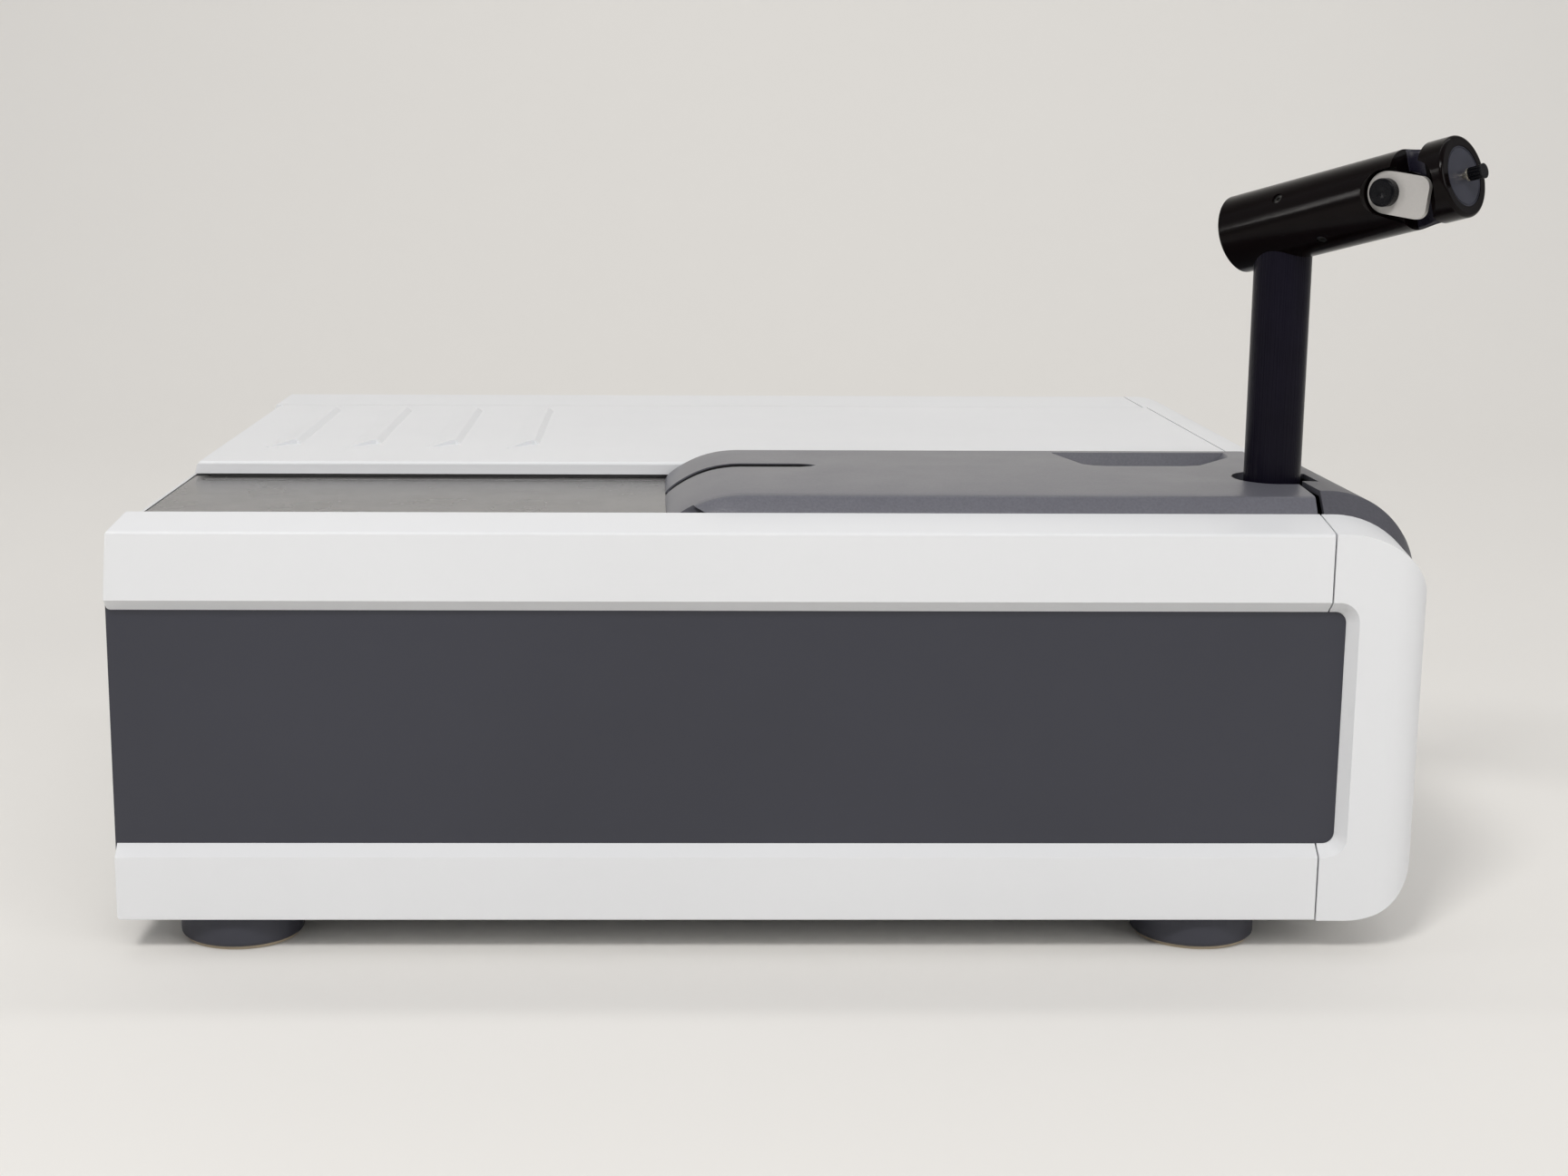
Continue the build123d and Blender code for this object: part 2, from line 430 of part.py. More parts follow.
for i in range(14):
    vy = -210 + i * 12
    rear -= block(-300, -270, vy, vy + 6, 120, 152)
REAR_SCREWS = [(y, z) for y in (-222, -75, 75, 222) for z in (26, 148)]
for y, z in REAR_SCREWS:
    rear -= rod(RX0 - 5, y, z, 1.75, 20, "X")
for y, z in ((FAN_Y + dy, FAN_Z + dz) for dy in (-35.75, 35.75) for dz in (-35.75, 35.75)):
    rear -= rod(RX0 - 5, y, z, 2.2, 20, "X")
keep("rear_panel", rear)


def side_screw(y, z, x, length=8.0, r=1.7, head_r=3.2):
    body = rod(x - 1.8, y, z, head_r, 1.8, "X") + rod(x, y, z, r, length, "X")
    return (body - block(x - 1.9, x - 0.9, y - 2, y + 2, z - 0.45, z + 0.45)
            - block(x - 1.9, x - 0.9, y - 0.45, y + 0.45, z - 2, z + 2))


keep("rear_screws", *[side_screw(y, z, RX0) for y, z in REAR_SCREWS])

# ---- rear fittings ------------------------------------------------------------------------------
inlet = block(RX1 - 4.3, RX1 + 26, INLET_Y - 13.7, INLET_Y + 13.7, INLET_Z - 10, INLET_Z + 20)
inlet += block(RX0 - 2.5, RX0, INLET_Y - 17, INLET_Y + 17, INLET_Z - 13, INLET_Z + 23)
inlet -= prism_yz([(INLET_Y - 12, INLET_Z - 8), (INLET_Y + 12, INLET_Z - 8), (INLET_Y + 12, INLET_Z + 2),
                   (INLET_Y + 8, INLET_Z + 7.5),
                   (INLET_Y - 8, INLET_Z + 7.5), (INLET_Y - 12, INLET_Z + 2)], -300, RX1 + 16)
inlet -= block(-300, RX1 + 20, INLET_Y - 10.2, INLET_Y + 10.2, INLET_Z + 10, INLET_Z + 18.4)
keep("mains_inlet", inlet)
keep("inlet_pins", *[block(RX0 + 6, RX1 + 30, INLET_Y + dy - 1, INLET_Y + dy + 1, INLET_Z + dz - 2,
                           INLET_Z + dz + 2)
                     for dy, dz in ((-7, -3.2), (7, -3.2), (0, 2.6))])
PARTS["mains_inlet"] = list((inlet - Compound(PARTS["inlet_pins"])).solids())
drawer = block(RX0 - 2.3, RX1 + 17, INLET_Y - 10.0, INLET_Y + 10.0, INLET_Z + 10.2, INLET_Z + 18.2)
drawer -= block(RX0 + 4, RX1 + 15, INLET_Y - 7.5, INLET_Y + 7.5, INLET_Z + 12, INLET_Z + 19)
drawer -= block(RX0 - 3, RX0 - 1.2, INLET_Y - 5, INLET_Y + 5, INLET_Z + 15.8, INLET_Z + 18.4)
keep("fuse_drawer", drawer)

frame_y, frame_z = (ROCKER_Y - 9.5, ROCKER_Y + 9.5), (ROCKER_Z - 13.5, ROCKER_Z + 13.5)
bezel_sw = (block(RX1 - 4.3, RX1 + 14, *frame_y, *frame_z)
            + block(RX0 - 2, RX0, ROCKER_Y - 11.5, ROCKER_Y + 11.5, ROCKER_Z - 15.5, ROCKER_Z + 15.5))
bezel_sw -= block(-300, RX1 + 11, ROCKER_Y - 7.5, ROCKER_Y + 7.5, ROCKER_Z - 11.8, ROCKER_Z + 11.8)
keep("rocker_frame", bezel_sw)
# The rocker turns about an axis along Y; it is stored in its "off" position, tilted by 8 degrees.
RK_X = RX0 + 3.0
rocker = prism_xz([(RK_X - 5.2, ROCKER_Z - 10.6), (RK_X - 3.4, ROCKER_Z), (RK_X - 5.2, ROCKER_Z + 10.6),
                   (RK_X + 3.5, ROCKER_Z + 9.6),
                   (RK_X + 6.0, ROCKER_Z + 4), (RK_X + 6.0, ROCKER_Z - 4), (RK_X + 3.5, ROCKER_Z - 9.6)],
                   ROCKER_Y - 7.1, ROCKER_Y + 7.1)
tilt = Pos(RK_X, ROCKER_Y, ROCKER_Z) * Rot(0, 8, 0) * Pos(-RK_X, -ROCKER_Y, -ROCKER_Z)
rocker += rod(RK_X, ROCKER_Y - 7.4, ROCKER_Z, 1.5, 14.8, "Y")
keep("power_rocker", tilt * rocker)

data_port = block(RX0 - 0.2, RX1 + 16, USB_Y - 6.0, USB_Y + 6.0, USB_Z - 5.6, USB_Z + 5.6)
data_port -= block(-300, RX1 + 10, USB_Y - 4.6, USB_Y + 4.6, USB_Z - 4.2, USB_Z + 4.2)
data_port += block(RX0 + 5, RX1 + 12, USB_Y - 2.8, USB_Y + 2.8, USB_Z - 1.6, USB_Z + 1.6)
net_port = block(RX0 - 0.2, RX1 + 18, USB_Y + 10, USB_Y + 26, USB_Z - 7, USB_Z + 7)
net_port -= block(-300, RX1 + 12, USB_Y + 12, USB_Y + 24, USB_Z - 5, USB_Z + 4)
net_port -= block(-300, RX1 + 12, USB_Y + 15, USB_Y + 21, USB_Z + 3.9, USB_Z + 6)
keep("data_ports", data_port, net_port)

FX0 = RX1 + 0.2
fan = (block(FX0, FX0 + 25, FAN_Y - 40, FAN_Y + 40, FAN_Z - 40, FAN_Z + 40)
       - rod(FX0 - 1, FAN_Y, FAN_Z, 37.5, 30, "X"))
fan += rod(FX0 + 20, FAN_Y, FAN_Z, 14, 5, "X")
for a in (20, 140, 260):
    fan += Pos(FX0 + 22.5, FAN_Y, FAN_Z) * Rot(a, 0, 0) * Pos(0, 26, 0) * Box(4, 26, 4)
fan += rod(FX0 + 10, FAN_Y, FAN_Z, 2.0, 12, "X")
for dy in (-35.75, 35.75):
    for dz in (-35.75, 35.75):
        fan -= rod(FX0 - 1, FAN_Y + dy, FAN_Z + dz, 2.2, 30, "X")
keep("fan_frame", fan)
hub = rod(FX0 + 2, FAN_Y, FAN_Z, 14, 16, "X")
for i in range(7):
    blade = (Pos(FX0 + 10, FAN_Y, FAN_Z) * Rot(i * 360 / 7, 0, 0) * Pos(0, 24.5, 0)
             * Rot(0, 38, 0) * Box(1.6, 23, 17))
    hub += blade
hub &= rod(FX0 + 1, FAN_Y, FAN_Z, 36.3, 18, "X")
hub -= rod(FX0 + 8, FAN_Y, FAN_Z, 2.0 + RUN, 14, "X")
keep("fan_rotor", hub)

# ---- optical bench --------------------------------------------------------------------------------
bench = block(-250, 232, -68, 222, BENCH_Z - 10, BENCH_Z) - block(-262, -200, -68, 100, 0, 200)
bench += (block(-180, 225, -68, -64, BENCH_Z, BENCH_Z + 55) - rod(BEAM_X, -80, BEAM_Z, 8, 30, "Y")
          - rod(BEAM_X - 110, -80, BEAM_Z, 8, 30, "Y"))
for x, y in ((-180, -50), (-180, 205), (20, 205), (215, 205), (215, -50), (20, -50)):
    bench += rod(x, y, BASE_Z + 4.5, 7, BENCH_Z - BASE_Z - 14)
for x in range(-150, 200, 60):
    bench += block(x, x + 4, -60, 215, BENCH_Z - 22, BENCH_Z - 9)
GRATE = (-60.0, 60.0)
WHEEL = (112.0, 150.0)
bench -= rod(GRATE[0], GRATE[1], 0, 11.2, 100)
keep("optical_bench", bench)


def mirror_at(x, y, turn, r=22.0, thick=6.0, z=BEAM_Z):
    """A round mirror blank with its concave face, on an L bracket."""
    loc = Pos(x, y, z) * Rot(0, 0, turn)
    glass = loc * Rot(0, 90, 0) * Cylinder(r, thick)
    glass -= loc * Pos(4 * r + thick / 2 - 0.8, 0, 0) * Sphere(4 * r)
    holder = loc * Pos(-thick / 2 - 2.6, 0, 0) * Box(5, 2 * r + 8, 2 * r + 8)
    foot_h = z - r - 4 - BENCH_Z
    holder += loc * Pos(-thick / 2 - 2.6 - 8, 0, -(r + 4) - foot_h / 2) * Box(21, 30, foot_h)
    return glass, holder


collimator, coll_mount = mirror_at(-165, 20, 8)
focuser, foc_mount = mirror_at(-165, 120, -8)
splitter_mount = Pos(60, -30, (BENCH_Z + BEAM_Z - 13) / 2) * Rot(0, 0, 45) * Box(14, 26,
                                                                                 BEAM_Z - 13 - BENCH_Z)
keep("concave_mirrors", collimator, focuser)
keep("optic_mounts", coll_mount, foc_mount, splitter_mount)
keep("entrance_slit", block(14, 16, -2, 42, BEAM_Z - 22, BEAM_Z + 22) - block(10, 20, 19.6, 20.4,
                                                                              BEAM_Z - 6, BEAM_Z + 6)
     + block(6, 28, -2, 42, BENCH_Z, BEAM_Z - 22))
turntable = rod(GRATE[0], GRATE[1], BENCH_Z + 4, 22, 6) + rod(GRATE[0], GRATE[1], BENCH_Z - 20, 4.0, 26)
turntable += block(GRATE[0] - 6.5, GRATE[0] - 1.5, GRATE[1] - 17, GRATE[1] + 17, BENCH_Z + 9, BENCH_Z + 54)
keep("grating_turntable", turntable)
grating = block(GRATE[0] - 1.5, GRATE[0] + 5, GRATE[1] - 15, GRATE[1] + 15, BENCH_Z + 18, BENCH_Z + 50)
for i in range(14):
    gy = GRATE[1] - 14 + i * 2.0
    grating -= block(GRATE[0] + 4.7, GRATE[0] + 6, gy, gy + 0.9, BENCH_Z + 20, BENCH_Z + 48)
keep("diffraction_grating", grating)
gmotor = rod(GRATE[0], GRATE[1], BASE_Z + 6, 21, 32) - rod(GRATE[0], GRATE[1], BASE_Z + 26, 4.0 + RUN, 40)
gmotor += tube(GRATE[0], GRATE[1], BASE_Z + 38, 11, 4.0 + RUN, BENCH_Z - BASE_Z - 38)
keep("grating_motor", gmotor)

# Lamp: pulsed discharge bulb in a finned housing, with its trigger unit.
lamp_box = (block(150, 222, 130, 215, BENCH_Z, BENCH_Z + 78)
            - block(154, 218, 134, 211, BENCH_Z + 3, BENCH_Z + 74))
lamp_box -= rod(140, 172, BEAM_Z, 10, 20, "X")
for i in range(7):
    lamp_box += block(150, 222, 134 + i * 12, 137 + i * 12, BENCH_Z + 78, BENCH_Z + 86)
keep("lamp_housing", lamp_box)
bulb = rod(196, 172, BEAM_Z, 13, 14, "X") + rod(186, 172, BEAM_Z, 12, 10, "X")
keep("flash_lamp", bulb)
wheel = rod(WHEEL[0], WHEEL[1], BEAM_Z, 34, 4, "X")
holes = [(WHEEL[1] + 22 * cos(radians(a)), BEAM_Z + 22 * sin(radians(a))) for a in range(0, 360, 60)]
for hy, hz in holes:
    wheel -= rod(WHEEL[0] - 5, hy, hz, 7.5, 20, "X")
wheel += rod(WHEEL[0] + 4, WHEEL[1], BEAM_Z, 7, 6, "X") + rod(WHEEL[0] + 9, WHEEL[1], BEAM_Z, 3.0, 10, "X")
keep("filter_wheel", wheel)
keep("filter_glasses", *[rod(WHEEL[0] + 0.8, hy, hz, 7.5, 2.4, "X") for hy, hz in holes[1:]])
wmotor = (rod(WHEEL[0] + 13, WHEEL[1], BEAM_Z, 14, 18, "X")
          + block(WHEEL[0] + 13, WHEEL[0] + 16, WHEEL[1] - 16, WHEEL[1] + 16, BENCH_Z, BEAM_Z + 16))
wmotor -= rod(WHEEL[0] + 5, WHEEL[1], BEAM_Z, 3.0 + RUN, 16, "X")
keep("wheel_motor", wmotor)
splitter = Pos(60, -30, BEAM_Z) * Rot(0, 0, 45) * Box(2, 26, 26)
keep("beam_splitter", splitter)
det = []
for dx, dy in ((60, 20), (119, -50)):
    can = rod(dx, dy, BEAM_Z, 6.5, 8, "Y")
    board = block(dx - 16, dx + 16, dy + 8, dy + 10, BENCH_Z, BEAM_Z + 16)
    det.append(can + board)
keep("detectors", *det)
keep("lenses", rod(160, 172, BEAM_Z, 9.0, 4, "X"), rod(BEAM_X, -48, BEAM_Z, 10, 5, "Y"))

# ---- electronics ----------------------------------------------------------------------------------
board = block(-272, -206, -190, -60, 30, 31.8)
for x in (-268, -210):
    for y in (-186, -64):
        board += rod(x, y, BASE_Z + 2.0, 3, 28 - BASE_Z)
keep("main_board", board)
chips = [block(-262, -240, -160, -138, 31.8, 34.5), block(-232, -220, -160, -146, 31.8, 33.6),
         block(-258, -238, -120, -108, 31.8, 38.0),
         block(-230, -216, -122, -92, 31.8, 40.0), block(-262, -246, -92, -76, 31.8, 36.0)]
chips += [rod(-226, -78 - i * 9, 31.8, 3.5, 11) for i in range(2)]
keep("board_components", *chips)
psu = block(-250, -193, 105, 222, BASE_Z + 4.6, 58)
psu -= block(-248.5, -194.5, 106.5, 220.5, BASE_Z + 6, 56.5)
for i in range(8):
    psu -= block(-238, -205, 114 + i * 12, 119 + i * 12, 55, 60)
keep("power_supply", psu)

# ---- periscope accessory: base ----------------------------------------------------------------------
base = block(150, tx1 - TUB_WALL - 0.4, -199, -120, tz0 + TUB_WALL, 88)
base = base + rod(POST_X, POST_Y, 88, 19.5, 50)
base -= rod(POST_X, POST_Y, 76, POST_R + RUN, 200)
base -= rod(POST_X, POST_Y - 2, BEAM_Z, 8, 100, "Y")
base += block(POST_X - 17, POST_X + 17, -146, -126, 88, BEAM_Z + 14) - rod(POST_X, POST_Y - 2, BEAM_Z, 8,
                                                                           100, "Y") \
    - rod(POST_X, POST_Y, 76, POST_R + RUN, 200)
keep("periscope_base", base.solids().sort_by(SortBy.VOLUME)[-1])
knobs = []
for kx in (162, 196):
    k = rod(kx, -188, 88, 7, 9) - Compound([Pos(kx + 7 * cos(radians(a)), -188 + 7 * sin(radians(a)),
                                                93) * Cylinder(0.7, 12) for a in range(0, 360, 24)])
    knobs.append(k)
keep("base_thumbscrews", *knobs)

# ---- periscope accessory: post and barrel -----------------------------------------------------------
yaw, rise = radians(BARREL_YAW), radians(BARREL_RISE)
along = Vector(cos(yaw) * cos(rise), -sin(yaw) * cos(rise), sin(rise))
side = along.cross(Vector(0, 0, 1)).normalized()
BARREL = Plane(origin=(POST_X, POST_Y, BARREL_Z), x_dir=along, z_dir=side.cross(along))


def on_barrel(shape):
    """Local x runs along the barrel, local -y faces its window side, local z is its upper side."""
    return BARREL.location * shape


post = tube(POST_X, POST_Y, 76.4, POST_R, 9.0, 234)
post -= on_barrel(rod(-60, 0, 0, BARREL_R + 0.02, 200, "X"))
post -= rod(POST_X, POST_Y - 20, BEAM_Z, 7, 40, "Y")
post = post.solids().sort_by(SortBy.VOLUME)[-1]
keep("post", post)

tube_b = rod(BARREL_T0, 0, 0, BARREL_R, BARREL_T1 - BARREL_T0, "X")
tube_b = chamfer(tube_b.edges().filter_by(GeomType.CIRCLE).sort_by(Axis.X)[0], 0.8)
tube_b -= rod(BARREL_T0 - 1, 0, 0, 13.5, 4.2, "X")
tube_b -= rod(BARREL_T0, 0, 0, 7.5, 200, "X")
# Sample slot across the barrel, open towards the window side.
tube_b -= block(SLOT_T0, BARREL_T1 + 1, -30, 0, -30, 30) + Pos(70.5, 0, 0) * Cylinder(7, 80)
tube_b -= block(70.5, BARREL_T1 + 1, -0.1, 7.0, -30, 30)
# Oval pocket for the swing plate, widened downwards for its swing.
pocket = Rot(90, 0, 0) * extrude(SlotCenterToCenter(POCKET_RUN, 2 * POCKET_R), 30)
pocket = Pos(LEVER_T + POCKET_RUN / 2, -9.4, 0) * pocket
pocket += prism_xz([(LEVER_T, 0), (LEVER_T - 5.2, -8.35), (SLOT_T0 + 1, -15.1), (SLOT_T0 + 1, 0)], -39.4,
                   -9.4)
tube_b -= pocket
tube_b -= rod(LEVER_T, -12, 0, 2.0 + RUN, 6, "Y")
SET_SCREWS = ((7.3, 146.8), (24.0, -132.0))
for t, ang in SET_SCREWS:
    tube_b -= Pos(t, 0, 0) * Rot(ang - 90, 0, 0) * Pos(0, 0, 14) * Cylinder(2.4, 9)
barrel = on_barrel(tube_b) - rod(POST_X, POST_Y, BARREL_Z - 40, 9.0, 40)
barrel = barrel.solids().sort_by(SortBy.VOLUME)[-1]
keep("barrel", barrel)
keep("barrel_plug", on_barrel(rod(BARREL_T0 - 0.2, 0, 0, 13.45, 3.2, "X") - rod(BARREL_T0 - 1, 0, 0, 3, 2,
                                                                                "X")))

screws = []
for t, ang in SET_SCREWS:
    s = Cylinder(2.35, 5.2) - Pos(0, 0, 1.6) * extrude(RegularPolygon(1.15, 6), 3)
    screws.append(on_barrel(Pos(t, 0, 0) * Rot(ang - 90, 0, 0) * Pos(0, 0, 13.9) * s))
keep("set_screws", *screws)

ring = tube(BARREL_T1 + 0.15, 0, 0, BARREL_R, 12.9, RING_T1 - BARREL_T1 - 0.15, "X")
ring = fillet(ring.edges().filter_by(GeomType.CIRCLE).group_by(Axis.X)[-1].sort_by(SortBy.LENGTH)[-1], 1.6)
ring += tube(BARREL_T1 + 0.15, 0, 0, 13.2, 8.0, 1.5, "X")
ring -= pocket
for swing in (0.5, 1.0):
    swept = Rot(90, 0, 0) * extrude(SlotCenterToCenter(POCKET_RUN, 2 * POCKET_R), 30)
    ring -= Pos(LEVER_T, 0, 0) * Rot(0, -LEVER_TILT * swing, 0) * Pos(POCKET_RUN / 2, -9.4, 0) * swept
keep("port_ring", on_barrel(ring.solids().sort_by(SortBy.VOLUME)[-1]))
DISC_T = 85.0
disc = rod(DISC_T, 0, 0, 12.9 - RUN, 3.0, "X")
disc -= tube(DISC_T + 2.7, 0, 0, 12.3, 11.9, 1, "X")
keep("port_disc", on_barrel(disc))
stem = rod(DISC_T + 3.0, 0, 0, 1.4, 3.0, "X") + rod(DISC_T + 4.9, 0, 0, 2.7, 1.1, "X")
keep("port_stem", on_barrel(stem))
grip = rod(DISC_T + 6.0, 0, 0, 2.9, 5.7, "X")
for flute in range(0, 360, 30):
    grip -= rod(DISC_T + 5.0, 3.0 * cos(radians(flute)), 3.0 * sin(radians(flute)), 0.42, 6.2, "X")
grip += rod(DISC_T + 11.6, 0, 0, 3.2, 0.9, "X")
keep("port_knob", on_barrel(grip))

# Swing plate and its turned knob, tilted as they are left in use.
lever_at = Pos(LEVER_T, 0, 0) * Rot(0, -LEVER_TILT, 0)
PLATE_R, PLATE_END, PLATE_CORNER = 9.0, 19.4, 4.6
ends = PLATE_END - PLATE_CORNER
plate_pts = arc(0, 0, PLATE_R, 90, 270) + arc(ends, -PLATE_R + PLATE_CORNER, PLATE_CORNER, -90, 0)
plate_pts += arc(ends, PLATE_R - PLATE_CORNER, PLATE_CORNER, 0, 90)
plate = prism_xz(plate_pts, -12.7, -10.2)
plate = plate - rod(0, -14, 0, 2.0, 6, "Y")
keep("swing_plate", on_barrel(lever_at * plate))
knob = rod(0, -17.0, 0, 6.0, 4.3, "Y")
knob = chamfer(knob.edges().filter_by(GeomType.CIRCLE).sort_by(Axis.Y)[0], 0.5)
knob -= Pos(0, -17.0, 0) * Rot(90, 0, 0) * Cone(0.2, 5.2, 0.8)
knob += rod(0, -12.8, 0, 2.0, 5.6, "Y")
keep("swing_knob", on_barrel(lever_at * knob))
fold = Pos(0, 0, 0) * Rot(0, 90 - 52, 0) * Cylinder(6.6, 2)
keep("fold_mirror", on_barrel(fold))

# ---- write one STEP file per node -------------------------------------------------------------------
os.makedirs("parts", exist_ok=True)
for name, solids in PARTS.items():
    placed = [solid.moved(Location((-ORIGIN_X, 0, 0))) for solid in solids]
    shape = placed[0] if len(placed) == 1 else Compound(children=placed)
    export_step(shape, f"parts/{name}.step")
print(len(PARTS), "nodes")
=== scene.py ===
import json
import math

import bmesh
import bpy
from mathutils import Matrix, Vector


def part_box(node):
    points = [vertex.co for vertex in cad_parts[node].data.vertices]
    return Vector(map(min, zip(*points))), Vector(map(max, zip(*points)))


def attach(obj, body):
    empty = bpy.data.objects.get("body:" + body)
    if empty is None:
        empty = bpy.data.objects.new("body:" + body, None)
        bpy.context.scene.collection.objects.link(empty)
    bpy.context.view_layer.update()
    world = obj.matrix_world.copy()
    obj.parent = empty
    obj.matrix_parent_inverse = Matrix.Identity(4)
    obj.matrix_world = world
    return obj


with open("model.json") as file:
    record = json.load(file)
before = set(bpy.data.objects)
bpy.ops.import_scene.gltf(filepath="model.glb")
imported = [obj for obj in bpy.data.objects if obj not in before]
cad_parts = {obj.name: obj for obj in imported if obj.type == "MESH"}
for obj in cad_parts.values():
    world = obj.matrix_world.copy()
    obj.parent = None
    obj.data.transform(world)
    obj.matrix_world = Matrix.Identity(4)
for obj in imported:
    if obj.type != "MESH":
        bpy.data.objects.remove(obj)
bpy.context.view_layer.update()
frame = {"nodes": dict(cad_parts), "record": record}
NODES = frame["nodes"]

# ---- materials ------------------------------------------------------------------------------------


class Mat:
    """A small wrapper for building one node material."""

    def __init__(self, name, color, rough, metallic=0.0, **sockets):
        self.mat = bpy.data.materials.new(name)
        self.mat.use_nodes = True
        self.nt = self.mat.node_tree
        self.bsdf = self.nt.nodes["Principled BSDF"]
        self.set("Base Color", (*color, 1.0))
        self.set("Roughness", rough)
        self.set("Metallic", metallic)
        for key, value in sockets.items():
            self.set(key.replace("_", " "), value)
        self.coord = self.node("ShaderNodeTexCoord").outputs["Object"]

    def set(self, socket, value):
        self.bsdf.inputs[socket].default_value = value

    def node(self, kind, **props):
        n = self.nt.nodes.new(kind)
        for key, value in props.items():
            setattr(n, key, value)
        return n

    def link(self, a, b):
        self.nt.links.new(a, b)

    def mapping(self, scale=(1, 1, 1), rotation=(0, 0, 0)):
        m = self.node("ShaderNodeMapping")
        m.inputs["Scale"].default_value = scale
        m.inputs["Rotation"].default_value = rotation
        self.link(self.coord, m.inputs["Vector"])
        return m.outputs["Vector"]

    def noise(self, scale, detail=3.0, rough=0.5, vector=None):
        n = self.node("ShaderNodeTexNoise")
        n.inputs["Scale"].default_value = scale
        n.inputs["Detail"].default_value = detail
        n.inputs["Roughness"].default_value = rough
        self.link(vector if vector is not None else self.coord, n.inputs["Vector"])
        return n.outputs["Fac"]

    def voronoi(self, scale):
        n = self.node("ShaderNodeTexVoronoi", feature="F1")
        n.inputs["Scale"].default_value = scale
        self.link(self.coord, n.inputs["Vector"])
        return n.outputs["Distance"]

    def ramp(self, fac, low, high):
        """Black below low, white above high."""
        r = self.node("ShaderNodeValToRGB")
        e = r.color_ramp.elements
        e[0].position, e[1].position = low, high
        e[0].color, e[1].color = (0, 0, 0, 1), (1, 1, 1, 1)
        self.link(fac, r.inputs["Fac"])
        return r.outputs["Color"]

    def mix(self, fac, a, b):
        """Colour a where fac is 0, colour b where it is 1."""
        m = self.node("ShaderNodeMix", data_type="RGBA")
        self.link(fac, m.inputs[0])
        m.inputs[6].default_value = (*a, 1)
        m.inputs[7].default_value = (*b, 1)
        return m.outputs[2]

    def range(self, fac, a, b, to_a, to_b):
        r = self.node("ShaderNodeMapRange")
        for key, value in (("From Min", a), ("From Max", b), ("To Min", to_a), ("To Max", to_b)):
            r.inputs[key].default_value = value
        self.link(fac, r.inputs["Value"])
        return r.outputs["Result"]

    def bump(self, height, strength, distance, normal=None):
        b = self.node("ShaderNodeBump")
        b.inputs["Strength"].default_value = strength
        b.inputs["Distance"].default_value = distance
        self.link(height, b.inputs["Height"])
        if normal is not None:
            self.link(normal, b.inputs["Normal"])
        self.link(b.outputs["Normal"], self.bsdf.inputs["Normal"])
        return b.outputs["Normal"]

    def to(self, value, socket):
        self.link(value, self.bsdf.inputs[socket])


def tint(color, k):
    return tuple(min(1.0, c * k) for c in color)


def moulded(name, color, rough, grain, depth, spread=0.04, scuff=0.0, sparkle=False):
    """Moulded plastic: fine grain, faint cloudiness and hairline scuffs, or a coarse grain that sparkles."""
    m = Mat(name, color, rough)
    fine = m.noise(grain, 3.0, 0.6)
    if sparkle:
        base = m.mix(m.range(fine, 0.35, 0.65, 0.0, 1.0), tint(color, 0.92), tint(color, 1.09))
    else:
        cloud = m.noise(7.0, 4.0)
        base = m.mix(m.range(cloud, 0.3, 0.7, 0.0, 1.0), tint(color, 1 - spread), tint(color, 1 + spread))
    m.to(base, "Base Color")
    m.to(m.range(m.noise(31.0, 3.0), 0.3, 0.7, rough - 0.02, rough + 0.025), "Roughness")
    normal = m.bump(fine, 0.35, depth)
    if sparkle:
        pits = m.ramp(m.voronoi(1000.0), 0.22, 0.60)
        normal = m.bump(pits, 0.5, 0.00006, normal)
    if scuff:
        lines = m.noise(60.0, 2.0, 0.5, m.mapping((0.15, 1.0, 4.0), (0.1, 0.2, 0.3)))
        m.bump(m.ramp(lines, 0.62, 0.66), scuff, 0.00004, normal)
    return m.mat


WHITE = moulded("white_cover_fine_grain", (0.760, 0.770, 0.785), 0.40, 2600.0, 0.00006, 0.012, scuff=0.15)
PANEL = moulded("grey_panel_fine_grain", (0.0315, 0.0330, 0.0455), 0.38, 2400.0, 0.00008, 0.06)
LID = moulded("grey_lid_coarse_grain", (0.118, 0.119, 0.140), 0.32, 900.0, 0.00014, sparkle=True)
CHANNEL = moulded("grey_channel_grain", (0.150, 0.147, 0.146), 0.26, 1600.0, 0.00008, 0.03)
CAP = moulded("grey_cap_grain", (0.070, 0.070, 0.084), 0.42, 900.0, 0.00014, sparkle=True)
FOOT = moulded("grey_foot_rubber", (0.036, 0.037, 0.050), 0.60, 1800.0, 0.00012, 0.05)
BLACK = moulded("black_moulding", (0.006, 0.006, 0.007), 0.5, 1700.0, 0.00010, 0.08)


def painted_groove_shade():
    """A dull near-black sheet with a fine tooth: painted shade for the dark floor of the lid's groove."""
    m = Mat("painted_groove_shade_black", (0.0025, 0.0025, 0.0032), 0.85, 0.0, Specular_IOR_Level=0.04)
    fine = m.noise(2200.0, 3.0, 0.6)
    m.to(m.mix(fine, (0.0018, 0.0018, 0.0024), (0.0034, 0.0034, 0.0042)), "Base Color")
    m.bump(fine, 0.35, 0.00006)
    return m.mat


# painted shade: a near-black sheet laid in the lid's groove, where the groove is only in shade
GROOVE_PAINTED_SHADE = painted_groove_shade()


def felt():
    """Cream felt with fibres lying mostly one way."""
    m = Mat("foot_felt_fibres", (0.36, 0.27, 0.19), 0.95)
    fibres = m.noise(2200.0, 4.0, 0.7, m.mapping((1, 0.35, 1), (0, 0, 0.6)))
    m.to(m.mix(fibres, (0.42, 0.34, 0.24), (0.62, 0.53, 0.40)), "Base Color")
    m.bump(fibres, 0.6, 0.0003)
    return m.mat


